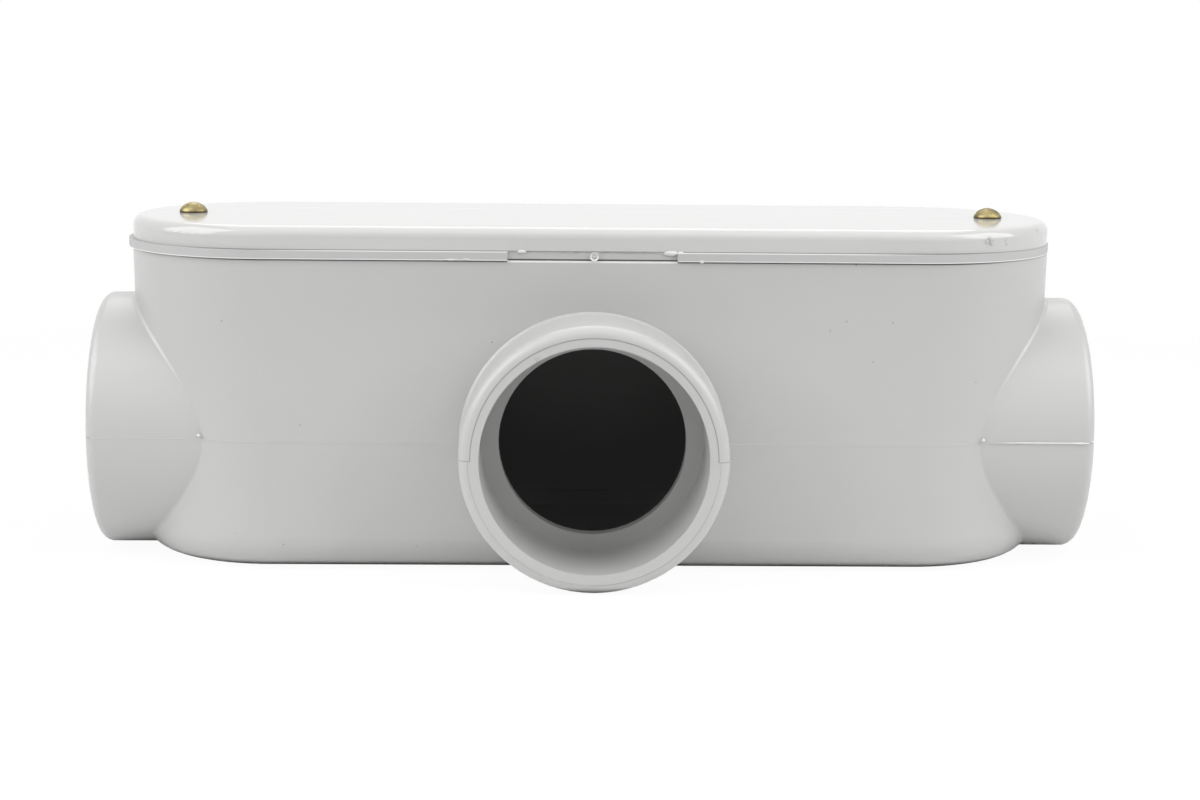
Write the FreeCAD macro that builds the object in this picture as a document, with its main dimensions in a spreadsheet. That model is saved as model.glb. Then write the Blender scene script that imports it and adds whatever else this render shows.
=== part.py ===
"""Type T conduit body for 2 inch rigid PVC conduit: a moulded housing with three socket hubs,
a flat cover on a soft gasket, and two round head slotted screws.

Millimetres. +Z is up, +X runs along the two end hubs, and the side hub faces -Y.
The origin is on the flat base, straight below the point where the hub axes cross.
"""

import FreeCAD, Part
import math
import os

import Sketcher
from FreeCAD import Vector

doc = FreeCAD.newDocument("conduit_body")

# ---------------------------------------------------------------------------
# Sizes. A text that starts with "=" is worked out from the others.
# ---------------------------------------------------------------------------

SIZES = [
    # hubs: the conduit slips into the socket and butts on the stop
    ("socket_diameter", "60.7", "bore that takes the conduit"),
    ("socket_depth", "28.6", "how far the conduit goes in"),
    ("hub_wall", "5.4", "plastic round a socket"),
    ("stop_step", "4.65", "height of the stop, so the throat matches the conduit's bore"),
    ("stop_thickness", "6.3", "length of the stop along the bore"),
    ("hub_rim_radius", "2.8", "rounding of a hub's outer rim"),
    ("throat_lip", "2", "bevel that spares the wires"),
    ("end_seam_radius", "1", "rounding in the corner where an end hub leaves the box"),
    ("side_seam_bevel", "0.7", "filling in the corner where the side hub leaves the box"),
    ("hub_rise", "0.25", "hubs stay this far above the flat base"),
    ("end_hub_stand", "9", "end hub's face past the end of the box"),
    ("side_hub_stand", "25.7", "side hub's face past the side of the box"),
    # box, measured at its rim, where it is widest
    ("box_length", "259.4", "over the round ends"),
    ("box_side_margin", "5.05", "straight side past the hub's outside"),
    ("rim_above_hubs", "14.25", "room over the hubs for the screw bosses"),
    ("draft_angle", "1", "degrees that the walls lean out towards the rim"),
    ("wall_thickness", "4", "side walls"),
    ("floor_thickness", "4", "bottom"),
    ("base_edge_radius", "9", "outer edge of the bottom"),
    ("chamber_bevel", "4", "filling in the corner at the chamber's floor"),
    # gasket
    ("gasket_thickness", "2.4", "pressed between rim and cover"),
    ("gasket_lip", "0.6", "gasket's edge past the rim"),
    ("gasket_drift", "-0.5", "gasket lies this far off centre along X"),
    ("notch_length", "45.7", "set-back stretch at the front of the gasket"),
    ("notch_depth", "1", "how far that stretch is set back"),
    ("gate_diameter", "2.2", "nub left where the gasket's mould was filled"),
    ("gate_height", "0.5", "nub's height"),
    ("gate_dimple_diameter", "0.9", "hollow in the nub"),
    ("gate_dimple_depth", "0.2", "hollow in the nub"),
    # cover
    ("cover_height", "6.4", "height of the cover's edge"),
    ("cover_inset", "0.15", "cover's edge inside the rim's outline"),
    ("cover_edge_radius", "2.8", "rounding of the cover's top edge"),
    ("cover_plate", "3", "thickness of the cover's top"),
    ("cover_skirt", "3", "thickness of the cover's edge wall"),
    ("cover_rib_width", "2", "stiffening ribs under the cover"),
    ("cover_rib_drop", "2.4", "how far the ribs hang below the plate"),
    ("cover_rib_pitch", "42", "from one cross rib to the next"),
    # screws and what they pass through
    ("screw_setback", "16.7", "screw's axis from the end of the box"),
    ("screw_diameter", "4.1", "over the threads"),
    ("screw_length", "19.05", "under the head"),
    ("screw_tip_bevel", "0.7", "bevel at the tip"),
    ("head_diameter", "7.85", "round head"),
    ("head_height", "2.9", "round head"),
    ("head_edge", "0.6", "straight edge below the dome"),
    ("slot_width", "1.15", "driver slot"),
    ("slot_depth", "1.5", "driver slot"),
    ("slot_angle_left", "38", "degrees from +X"),
    ("slot_angle_right", "4", "degrees from +X"),
    ("pilot_clearance", "0.05", "screw to pilot hole, on the radius"),
    ("cover_hole_clearance", "0.25", "screw to cover hole, on the radius"),
    ("gasket_hole_clearance", "0.8", "screw to gasket hole, on the radius"),
    ("pilot_reserve", "2.5", "pilot hole below the screw's tip"),
    ("boss_wall", "2.9", "plastic round a pilot hole"),
    ("boss_web_width", "3", "web that ties a boss to the end wall"),
    ("boss_web_drop", "3", "top of that web below the rim"),
    ("tab_margin", "1.2", "gasket tab past the boss below it"),
    ("overlap", "1", "how far joined forms reach into one another"),
    # worked out from the sizes above
    ("hub_diameter", "=socket_diameter + 2 * hub_wall", ""),
    ("hub_radius", "=hub_diameter / 2", ""),
    ("hub_axis", "=hub_rise + hub_radius", "height of the hub axes"),
    ("socket_radius", "=socket_diameter / 2", ""),
    ("throat_radius", "=socket_radius - stop_step", ""),
    ("tube_length", "=socket_depth + stop_thickness", "hub's face to the back of its stop"),
    ("box_width", "=hub_diameter + 2 * box_side_margin", ""),
    ("box_height", "=hub_rise + hub_diameter + rim_above_hubs", ""),
    ("half_length", "=box_length / 2", ""),
    ("half_width", "=box_width / 2", ""),
    ("end_face", "=half_length + end_hub_stand", "end hub's face from the middle"),
    ("side_face", "=half_width + side_hub_stand", "side hub's face from the middle"),
    ("gasket_top", "=box_height + gasket_thickness", ""),
    ("cover_top", "=gasket_top + cover_height", ""),
    ("recess_depth", "=cover_height - cover_plate", "hollow under the cover"),
    ("rib_count", "=floor((box_length - box_width) / cover_rib_pitch) + 1", "on the straight part"),
    ("screw_offset", "=half_length - screw_setback", "screw's axis from the middle"),
    ("screw_radius", "=screw_diameter / 2", ""),
    ("head_radius", "=head_diameter / 2", ""),
    ("pilot_radius", "=screw_radius + pilot_clearance", ""),
    ("pilot_depth", "=screw_length - cover_height - gasket_thickness + pilot_reserve", ""),
    ("boss_radius", "=pilot_radius + boss_wall", ""),
    ("boss_foot", "=hub_axis + socket_radius + hub_wall / 2", "inside the hub's wall"),
    ("tab_radius", "=boss_radius + tab_margin", ""),
]

sheet = doc.addObject("Spreadsheet::Sheet", "sizes")
for row, (alias, text, note) in enumerate(SIZES, start=1):
    sheet.set(f"A{row}", alias)
    sheet.set(f"B{row}", text)
    sheet.set(f"C{row}", note)
    sheet.setAlias(f"B{row}", alias)
doc.recompute()


# ---------------------------------------------------------------------------
# Sketches and features. Every size is an expression on the sheet.
# ---------------------------------------------------------------------------

def value_of(expression):
    """What an expression is worth now, so that a sketch is drawn near its final shape."""
    return float(sheet.evalExpression(expression))


def new_body(label):
    body = doc.addObject("PartDesign::Body", label)
    body.Label = label
    return body


def origin_part(body, role):
    return next(part for part in body.Origin.OriginFeatures if part.Role == role)


def new_sketch(body, name, plane, offset="0"):
    """A sketch on one of the body's own origin planes, or at a height above it."""
    sketch = body.newObject("Sketcher::SketchObject", name)
    sketch.AttachmentSupport = (origin_part(body, plane), [""])
    sketch.MapMode = "FlatFace"
    sketch.setExpression("AttachmentOffset.Base.z", offset)
    return sketch


def dimension(sketch, kind, parts, expression):
    """A driving dimension of a sketch."""
    index = sketch.addConstraint(Sketcher.Constraint(kind, *parts, value_of(expression)))
    name = f"{kind}{index}"
    sketch.renameConstraint(index, name)
    sketch.setExpression(f"Constraints.{name}", expression)


def pin_point(sketch, part, point, across, up):
    """Ties a point to the sketch's origin."""
    for kind, axis, expression in (("DistanceX", -2, across), ("DistanceY", -1, up)):
        if expression == "0":
            sketch.addConstraint(Sketcher.Constraint("PointOnObject", part, point, axis))
        else:
            dimension(sketch, kind, (-1, 1, part, point), expression)


def draw_circle(sketch, radius, across="0", up="0"):
    centre = Vector(value_of(across), value_of(up), 0)
    circle = sketch.addGeometry(Part.Circle(centre, Vector(0, 0, 1), value_of(radius)))
    pin_point(sketch, circle, 3, across, up)
    dimension(sketch, "Radius", (circle,), radius)


def draw_rectangle(sketch, left, right, low, high):
    x = [value_of(left), value_of(right)]
    y = [value_of(low), value_of(high)]
    corners = [Vector(x[0], y[0], 0), Vector(x[1], y[0], 0), Vector(x[1], y[1], 0), Vector(x[0], y[1], 0)]
    lines = [sketch.addGeometry(Part.LineSegment(corners[i], corners[(i + 1) % 4])) for i in range(4)]
    for i, line in enumerate(lines):
        sketch.addConstraint(Sketcher.Constraint("Coincident", line, 2, lines[(i + 1) % 4], 1))
        sketch.addConstraint(Sketcher.Constraint(("Horizontal", "Vertical")[i % 2], line))
    pin_point(sketch, lines[0], 1, left, low)
    pin_point(sketch, lines[2], 1, right, high)


def draw_obround(sketch, half_length, half_width):
    """Two half circles joined by straight sides, centred on the sketch's origin."""
    width = value_of(half_width)
    reach = value_of(half_length) - width
    up, quarter = Vector(0, 0, 1), math.pi / 2
    right = sketch.addGeometry(
        Part.ArcOfCircle(Part.Circle(Vector(reach, 0, 0), up, width), -quarter, quarter))
    back = sketch.addGeometry(Part.LineSegment(Vector(reach, width, 0), Vector(-reach, width, 0)))
    left = sketch.addGeometry(
        Part.ArcOfCircle(Part.Circle(Vector(-reach, 0, 0), up, width), quarter, 3 * quarter))
    front = sketch.addGeometry(Part.LineSegment(Vector(-reach, -width, 0), Vector(reach, -width, 0)))
    for before, after in ((right, back), (back, left), (left, front), (front, right)):
        sketch.addConstraint(Sketcher.Constraint("Tangent", before, 2, after, 1))
    sketch.addConstraint(Sketcher.Constraint("Equal", right, left))
    sketch.addConstraint(Sketcher.Constraint("PointOnObject", right, 3, -1))
    sketch.addConstraint(Sketcher.Constraint("Symmetric", right, 3, left, 3, -1, 1))
    dimension(sketch, "Radius", (right,), half_width)
    dimension(sketch, "DistanceX", (-1, 1, right, 3), f"{half_length} - ({half_width})")


def extrude(kind, sketch, name, length, backwards=False, taper=None):
    """A Pad or a Pocket of a sketch. Its volume has to differ from what it started from."""
    body = sketch.getParentGeoFeatureGroup()
    before = body.Shape.Volume if body.Tip else 0.0
    feature = body.newObject(f"PartDesign::{kind}", name)
    feature.Profile = sketch
    feature.Reversed = backwards
    feature.setExpression("Length", length)
    if taper:
        feature.setExpression("TaperAngle", taper)
    doc.recompute()
    grown = body.Shape.Volume - before
    if (grown <= 0) if kind == "Pad" else (grown >= 0):
        raise RuntimeError(f"{name} changed the volume of {body.Label} by {grown:.3f}")
    return feature


def dress_edges(kind, body, name, amount, chosen):
    """A Fillet or a Chamfer on the edges of the body's last feature that a test picks."""
    base = body.Tip
    edges = [f"Edge{i}" for i, edge in enumerate(base.Shape.Edges, start=1) if chosen(edge)]
    if not edges:
        raise RuntimeError(f"{name} found no edge on {body.Label}")
    feature = body.newObject(f"PartDesign::{kind}", name)
    feature.Base = (base, edges)
    feature.setExpression({"Fillet": "Radius", "Chamfer": "Size"}[kind], amount)
    doc.recompute()


def level_at(height):
    """A test for edges that lie flat at a height."""
    z = value_of(height)

    def test(edge):
        box = edge.BoundBox
        return abs(box.ZMin - z) < 0.01 and abs(box.ZMax - z) < 0.01
    return test


def ring_of(radius, axis, stations):
    """A test for circular edges of one radius whose centres lie at given stations along an axis."""
    r = value_of(radius)
    wanted = [value_of(station) for station in stations]

    def test(edge):
        if not isinstance(edge.Curve, Part.Circle) or abs(edge.Curve.Radius - r) > 0.01:
            return False
        if abs(edge.Curve.Axis.dot(axis)) < 0.99:
            return False
        return any(abs(edge.Curve.Center.dot(axis) - station) < 0.01 for station in wanted)
    return test


def hub_seam(of_side_hub):
    """A test for the edges where the side hub, or the end hubs, leave the outside of the box."""
    hub_radius, hub_axis = value_of("sizes.hub_radius"), value_of("sizes.hub_axis")
    straight = value_of("sizes.half_length - sizes.half_width")
    slope = math.tan(math.radians(value_of("sizes.draft_angle")))

    def test(edge):
        for vertex in edge.Vertexes:
            x, y, z = vertex.Point
            wall = value_of("sizes.half_width") - slope * (value_of("sizes.box_height") - z)
            off_wall = math.hypot(max(abs(x) - straight, 0), y) - wall
            off_hub = math.hypot(x if of_side_hub else y, z - hub_axis) - hub_radius
            if abs(off_wall) > 0.05 or abs(off_hub) > 0.05:
                return False
        return True
    return test


def mirror(body, name, features):
    """Repeats features on the other side of the YZ plane."""
    feature = body.newObject("PartDesign::Mirrored", name)
    feature.Originals = features
    feature.MirrorPlane = (origin_part(body, "YZ_Plane"), [""])
    body.Tip = feature
    doc.recompute()
    return feature


# ---------------------------------------------------------------------------
# Housing
# ---------------------------------------------------------------------------

def make_housing():
    body = new_body("housing")

    # the box leans inward from its rim down to a rounded base
    outline = new_sketch(body, "rim_outline", "XY_Plane", "sizes.box_height")
    draw_obround(outline, "sizes.half_length", "sizes.half_width")
    extrude("Pad", outline, "box", "sizes.box_height", backwards=True, taper="-sizes.draft_angle")
    dress_edges("Fillet", body, "base_edge", "sizes.base_edge_radius", level_at("0"))

    mouth = new_sketch(body, "mouth_outline", "XY_Plane", "sizes.box_height")
    draw_obround(mouth, "sizes.half_length - sizes.wall_thickness", "sizes.half_width - sizes.wall_thickness")
    extrude("Pocket", mouth, "chamber", "sizes.box_height - sizes.floor_thickness",
            taper="-sizes.draft_angle")
    dress_edges("Chamfer", body, "chamber_edge", "sizes.chamber_bevel", level_at("sizes.floor_thickness"))

    # right end: tube, boss with its web, then the holes through them
    tube = new_sketch(body, "end_tube_outline", "YZ_Plane", "sizes.end_face - sizes.tube_length")
    draw_circle(tube, "sizes.hub_radius", up="sizes.hub_axis")
    end_tube = extrude("Pad", tube, "end_tube", "sizes.tube_length")

    post = new_sketch(body, "boss_outline", "XY_Plane", "sizes.boss_foot")
    draw_circle(post, "sizes.boss_radius", across="sizes.screw_offset")
    boss = extrude("Pad", post, "boss", "sizes.box_height - sizes.boss_foot")

    plate = new_sketch(body, "web_outline", "XY_Plane", "sizes.boss_foot")
    draw_rectangle(plate, "sizes.screw_offset", "sizes.half_length - sizes.wall_thickness",
                   "-sizes.boss_web_width / 2", "sizes.boss_web_width / 2")
    web = extrude("Pad", plate, "boss_web", "sizes.box_height - sizes.boss_web_drop - sizes.boss_foot")

    mouth = new_sketch(body, "end_socket_outline", "YZ_Plane", "sizes.end_face")
    draw_circle(mouth, "sizes.socket_radius", up="sizes.hub_axis")
    socket = extrude("Pocket", mouth, "end_socket", "sizes.socket_depth")

    neck = new_sketch(body, "end_throat_outline", "YZ_Plane", "sizes.end_face")
    draw_circle(neck, "sizes.throat_radius", up="sizes.hub_axis")
    throat = extrude("Pocket", neck, "end_throat", "sizes.tube_length + sizes.overlap")

    hole = new_sketch(body, "pilot_centre", "XY_Plane", "sizes.box_height")
    draw_circle(hole, "sizes.pilot_radius", across="sizes.screw_offset")
    pilot = extrude("Pocket", hole, "pilot_hole", "sizes.pilot_depth")

    mirror(body, "left_end", [end_tube, boss, web, socket, throat, pilot])

    # side hub
    tube = new_sketch(body, "side_tube_outline", "XZ_Plane", "sizes.side_face - sizes.tube_length")
    draw_circle(tube, "sizes.hub_radius", up="sizes.hub_axis")
    extrude("Pad", tube, "side_tube", "sizes.tube_length")

    mouth = new_sketch(body, "side_socket_outline", "XZ_Plane", "sizes.side_face")
    draw_circle(mouth, "sizes.socket_radius", up="sizes.hub_axis")
    extrude("Pocket", mouth, "side_socket", "sizes.socket_depth")

    neck = new_sketch(body, "side_throat_outline", "XZ_Plane", "sizes.side_face")
    draw_circle(neck, "sizes.throat_radius", up="sizes.hub_axis")
    extrude("Pocket", neck, "side_throat", "sizes.tube_length + sizes.overlap")

    # seams filled, rims rounded, and lips bevelled where the wires turn inside
    dress_edges("Fillet", body, "end_seams", "sizes.end_seam_radius", hub_seam(of_side_hub=False))
    dress_edges("Chamfer", body, "side_seam", "sizes.side_seam_bevel", hub_seam(of_side_hub=True))
    ends = ["sizes.end_face", "-sizes.end_face"]
    stops = ["sizes.end_face - sizes.tube_length", "sizes.tube_length - sizes.end_face"]
    along, across = Vector(1, 0, 0), Vector(0, 1, 0)
    dress_edges("Fillet", body, "end_rims", "sizes.hub_rim_radius", ring_of("sizes.hub_radius", along, ends))
    dress_edges("Fillet", body, "side_rim", "sizes.hub_rim_radius",
                ring_of("sizes.hub_radius", across, ["-sizes.side_face"]))
    dress_edges("Chamfer", body, "end_lips", "sizes.throat_lip", ring_of("sizes.throat_radius", along, stops))
    dress_edges("Chamfer", body, "side_lip", "sizes.throat_lip",
                ring_of("sizes.throat_radius", across, ["sizes.tube_length - sizes.side_face"]))
    return body


# ---------------------------------------------------------------------------
# Gasket
# ---------------------------------------------------------------------------

def make_gasket():
    body = new_body("gasket")

    outline = new_sketch(body, "gasket_outline", "XY_Plane")
    draw_obround(outline, "sizes.half_length + sizes.gasket_lip", "sizes.half_width + sizes.gasket_lip")
    extrude("Pad", outline, "gasket_sheet", "sizes.gasket_thickness")
    window = new_sketch(body, "window_outline", "XY_Plane")
    draw_obround(window, "sizes.half_length - sizes.wall_thickness", "sizes.half_width - sizes.wall_thickness")
    extrude("Pocket", window, "window", "sizes.gasket_thickness", backwards=True)

    # a tab at each end covers the boss and lets the screw through
    flap = new_sketch(body, "tab_outline", "XY_Plane")
    draw_rectangle(flap, "sizes.screw_offset", "sizes.half_length - sizes.wall_thickness / 2",
                   "-sizes.tab_radius", "sizes.tab_radius")
    tab = extrude("Pad", flap, "tab", "sizes.gasket_thickness")
    tip = new_sketch(body, "tab_tip_outline", "XY_Plane")
    draw_circle(tip, "sizes.tab_radius", across="sizes.screw_offset")
    tab_tip = extrude("Pad", tip, "tab_tip", "sizes.gasket_thickness")
    hole = new_sketch(body, "tab_hole_outline", "XY_Plane")
    draw_circle(hole, "sizes.screw_radius + sizes.gasket_hole_clearance", across="sizes.screw_offset")
    tab_hole = extrude("Pocket", hole, "tab_hole", "sizes.gasket_thickness", backwards=True)
    mirror(body, "left_tab", [tab, tab_tip, tab_hole])

    # the front edge is set back in the middle, round the nub where the mould was filled
    edge = "sizes.half_width + sizes.gasket_lip"
    notch = new_sketch(body, "notch_outline", "XY_Plane")
    draw_rectangle(notch, "-sizes.notch_length / 2", "sizes.notch_length / 2",
                   f"-({edge} + sizes.overlap)", f"-({edge} - sizes.notch_depth)")
    extrude("Pocket", notch, "notch", "sizes.gasket_thickness", backwards=True)
    nub = new_sketch(body, "gate_outline", "XZ_Plane", f"{edge} - sizes.notch_depth - sizes.overlap")
    draw_circle(nub, "sizes.gate_diameter / 2", across="-sizes.gasket_drift", up="sizes.gasket_thickness / 2")
    extrude("Pad", nub, "gate", "sizes.gate_height + sizes.overlap")
    dimple = new_sketch(body, "dimple_outline", "XZ_Plane", f"{edge} - sizes.notch_depth + sizes.gate_height")
    draw_circle(dimple, "sizes.gate_dimple_diameter / 2", across="-sizes.gasket_drift",
                up="sizes.gasket_thickness / 2")
    extrude("Pocket", dimple, "gate_dimple", "sizes.gate_dimple_depth")

    body.setExpression("Placement.Base.x", "sizes.gasket_drift")
    body.setExpression("Placement.Base.z", "sizes.box_height")
    return body


# ---------------------------------------------------------------------------
# Cover
# ---------------------------------------------------------------------------

def make_cover():
    body = new_body("cover")

    outline = new_sketch(body, "cover_outline", "XY_Plane")
    draw_obround(outline, "sizes.half_length - sizes.cover_inset", "sizes.half_width - sizes.cover_inset")
    extrude("Pad", outline, "cover_block", "sizes.cover_height")
    dress_edges("Fillet", body, "cover_edge", "sizes.cover_edge_radius", level_at("sizes.cover_height"))

    edge = "(sizes.cover_inset + sizes.cover_skirt)"
    hollow = new_sketch(body, "recess_outline", "XY_Plane")
    draw_obround(hollow, f"sizes.half_length - {edge}", f"sizes.half_width - {edge}")
    extrude("Pocket", hollow, "recess", "sizes.recess_depth", backwards=True)

    # a lengthwise rib, and cross ribs spaced over the straight part
    rib_height = "sizes.cover_rib_drop + sizes.overlap"
    rib_foot = "sizes.recess_depth - sizes.cover_rib_drop"
    spine = new_sketch(body, "spine_outline", "XY_Plane", rib_foot)
    draw_rectangle(spine, "-sizes.screw_offset", "sizes.screw_offset",
                   "-sizes.cover_rib_width / 2", "sizes.cover_rib_width / 2")
    extrude("Pad", spine, "spine", rib_height)
    first = "-(sizes.rib_count - 1) * sizes.cover_rib_pitch / 2"
    reach = f"sizes.half_width - {edge} + sizes.overlap"
    bar = new_sketch(body, "rib_outline", "XY_Plane", rib_foot)
    draw_rectangle(bar, f"{first} - sizes.cover_rib_width / 2", f"{first} + sizes.cover_rib_width / 2",
                   f"-({reach})", reach)
    rib = extrude("Pad", bar, "rib", rib_height)
    row = body.newObject("PartDesign::LinearPattern", "ribs")
    row.Originals = [rib]
    row.Direction = (origin_part(body, "X_Axis"), [""])
    row.setExpression("Length", "(sizes.rib_count - 1) * sizes.cover_rib_pitch")
    row.setExpression("Occurrences", "sizes.rib_count")
    body.Tip = row
    doc.recompute()

    # screw posts and their clearance holes
    post = new_sketch(body, "post_outline", "XY_Plane")
    draw_circle(post, "sizes.boss_radius", across="sizes.screw_offset")
    right_post = extrude("Pad", post, "post", "sizes.recess_depth + sizes.overlap")
    hole = new_sketch(body, "screw_hole_outline", "XY_Plane")
    draw_circle(hole, "sizes.screw_radius + sizes.cover_hole_clearance", across="sizes.screw_offset")
    right_hole = extrude("Pocket", hole, "screw_hole", "sizes.cover_height", backwards=True)
    mirror(body, "left_post", [right_post, right_hole])

    body.setExpression("Placement.Base.z", "sizes.gasket_top")
    return body


# ---------------------------------------------------------------------------
# Screws
# ---------------------------------------------------------------------------

def make_screw(label, across, slot_angle):
    """A round head slotted screw, turned about Z, with the underside of its head at Z = 0."""
    body = new_body(label)
    length, radius, bevel = "sizes.screw_length", "sizes.screw_radius", "sizes.screw_tip_bevel"
    head, edge, height = "sizes.head_radius", "sizes.head_edge", "sizes.head_height"
    path = [("0", f"-{length}"), (f"{radius} - {bevel}", f"-{length}"), (radius, f"{bevel} - {length}"),
            (radius, "0"), (head, "0"), (head, edge), ("0", height)]
    points = [Vector(value_of(x), value_of(z), 0) for x, z in path]

    # the dome's centre lies on the screw's axis, as far from the head's edge as from its top
    rise = points[6].y - points[5].y
    dome_radius = (points[5].x ** 2 + rise ** 2) / (2 * rise)
    centre = Vector(0, points[6].y - dome_radius, 0)
    start = math.atan2(points[5].y - centre.y, points[5].x)

    profile = new_sketch(body, f"{label}_profile", "XZ_Plane")
    parts = [profile.addGeometry(Part.LineSegment(a, b)) for a, b in zip(points[:5], points[1:6])]
    parts.append(profile.addGeometry(
        Part.ArcOfCircle(Part.Circle(centre, Vector(0, 0, 1), dome_radius), start, math.pi / 2)))
    parts.append(profile.addGeometry(Part.LineSegment(points[6], points[0])))
    for part, after in zip(parts, parts[1:] + parts[:1]):
        profile.addConstraint(Sketcher.Constraint("Coincident", part, 2, after, 1))
    for part, (x, z) in zip(parts, path):
        pin_point(profile, part, 1, x, z)
    profile.addConstraint(Sketcher.Constraint("PointOnObject", parts[5], 3, -2))

    turned = body.newObject("PartDesign::Revolution", f"{label}_turned")
    turned.Profile = profile
    turned.ReferenceAxis = (profile, ["V_Axis"])
    doc.recompute()
    slot = new_sketch(body, f"{label}_slot_outline", "XY_Plane", height)
    draw_rectangle(slot, f"-({head} + sizes.overlap)", f"{head} + sizes.overlap",
                   "-sizes.slot_width / 2", "sizes.slot_width / 2")
    extrude("Pocket", slot, f"{label}_slot", "sizes.slot_depth")

    body.setExpression("Placement.Base.x", across)
    body.setExpression("Placement.Base.z", "sizes.cover_top")
    body.setExpression("Placement.Rotation.Angle", slot_angle)
    return body


# ---------------------------------------------------------------------------
# Build, check and write
# ---------------------------------------------------------------------------

bodies = [
    make_housing(),
    make_gasket(),
    make_cover(),
    make_screw("screw_left", "-sizes.screw_offset", "sizes.slot_angle_left"),
    make_screw("screw_right", "sizes.screw_offset", "sizes.slot_angle_right"),
]
doc.recompute()

for thing in doc.Objects:
    if "Invalid" in thing.State or "Error" in thing.State:
        raise RuntimeError(f"{thing.Label} failed: {thing.State}")
for body in bodies:
    if body.Shape.isNull() or not body.Shape.isValid() or len(body.Shape.Solids) != 1:
        raise RuntimeError(f"{body.Label} is not one valid solid")

os.makedirs("parts", exist_ok=True)
for body in bodies:
    body.Shape.exportStep(f"parts/{body.Label}.step")
    box = body.Shape.BoundBox
    print(f"{body.Label}: {body.Shape.Volume:.0f} mm3, x {box.XMin:.2f} to {box.XMax:.2f}, "
          f"y {box.YMin:.2f} to {box.YMax:.2f}, z {box.ZMin:.2f} to {box.ZMax:.2f}")
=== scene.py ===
"""Looks of a type T conduit body: two finishes of moulded PVC, a soft gasket and brass screws.

It is laid out as an add-on and run as a script. Lengths are metres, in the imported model's frame.
"""

import math

import bpy
from bpy.props import FloatProperty, FloatVectorProperty, IntProperty, PointerProperty
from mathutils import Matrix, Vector


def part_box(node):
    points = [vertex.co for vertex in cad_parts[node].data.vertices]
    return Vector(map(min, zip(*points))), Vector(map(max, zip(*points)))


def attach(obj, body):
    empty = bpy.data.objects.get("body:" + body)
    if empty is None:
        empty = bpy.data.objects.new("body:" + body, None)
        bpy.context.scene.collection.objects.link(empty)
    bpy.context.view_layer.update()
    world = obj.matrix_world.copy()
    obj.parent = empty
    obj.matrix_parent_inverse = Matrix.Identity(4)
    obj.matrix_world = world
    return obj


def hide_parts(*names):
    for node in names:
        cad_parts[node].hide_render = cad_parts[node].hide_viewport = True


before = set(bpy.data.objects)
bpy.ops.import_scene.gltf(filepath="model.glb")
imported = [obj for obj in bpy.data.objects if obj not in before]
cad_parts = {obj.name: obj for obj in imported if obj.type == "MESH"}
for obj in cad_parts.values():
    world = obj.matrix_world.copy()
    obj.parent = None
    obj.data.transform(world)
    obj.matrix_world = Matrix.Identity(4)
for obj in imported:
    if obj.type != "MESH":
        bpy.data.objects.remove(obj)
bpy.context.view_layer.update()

bl_info = {
    "name": "Conduit Body Looks",
    "version": (1, 0, 0),
    "blender": (4, 5, 0),
    "location": "3D View > Sidebar > Conduit Body",
    "description": "Finishes, mould marks and screws of a PVC conduit body",
    "category": "Object",
}

MM = 0.001

housing_low, housing_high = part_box("housing")
gasket_low, gasket_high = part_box("gasket")
cover_low, cover_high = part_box("cover")
gasket_middle = (gasket_low.x + gasket_high.x) / 2

# the three hubs, whose axes cross at one height
HUB_RADIUS = 35.75 * MM
HUB_AXIS = 36 * MM
BORE_RADIUS = 30.5 * MM
TUBE_LENGTH = 34.9 * MM  # from a hub's rim to the chamber
END_SEAM = 107.5 * MM  # where an end hub's sides come out of the box, along X
SIDE_SEAM = 41 * MM  # and the side hub's sides, along -Y

# the box, whose round-ended outlines are drawn about a line along X, called its spine
SPINE_HALF_LENGTH = 88.85 * MM
MID_WALL = 37.2 * MM  # from the spine; it lies within the wall at every height
OUTER_WALL = 39 * MM  # from the spine, just under the wall's outer face at the hub axes' height
UNDER_FLOOR = 3.9 * MM  # just below the chamber's floor
RIM_CORNER = (39.9 * MM, 40.5 * MM)  # where the rim's outer corner begins and ends, from the spine

# refractive indices
RIGID_PVC = 1.53
SOFT_PVC = 1.5


def linear(code):
    """A colour written as sRGB hex, as the linear values that shaders use."""
    parts = [int(code[i:i + 2], 16) / 255 for i in (1, 3, 5)]
    return [p / 12.92 if p <= 0.04045 else ((p + 0.055) / 1.055) ** 2.4 for p in parts]


# ---------------------------------------------------------------------------
# What a user may change
# ---------------------------------------------------------------------------

def length_setting(name, description, millimetres):
    """A length that a user may change, with its default in mm."""
    return FloatProperty(name=name, description=description, default=millimetres * MM,
                         min=0, unit="LENGTH", precision=5)


def colour_setting(name, description, code):
    """A colour that a user may change, with its default as sRGB hex."""
    return FloatVectorProperty(name=name, description=description, default=linear(code),
                               size=3, min=0, max=1, subtype="COLOR")


def power_setting(name, description, watts):
    """A lamp's power that a user may change, with its default in watts."""
    return FloatProperty(name=name, description=description, default=watts, min=0, unit="POWER")


class MouldMarkSizes(bpy.types.PropertyGroup):
    """Sizes of the marks that the moulds left"""
    flash_width: length_setting("Flash width", "Width of the ridge where the mould halves met", 0.3)
    flash_height: length_setting("Flash height", "How far that ridge stands out", 0.07)
    witness_radius: length_setting(
        "Witness ring", "Radius of the ring that the core insert left on each hub's rim", 32.6)
    witness_step: length_setting(
        "Witness step", "How much wider that ring is in the lower mould half", 0.7)


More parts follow.
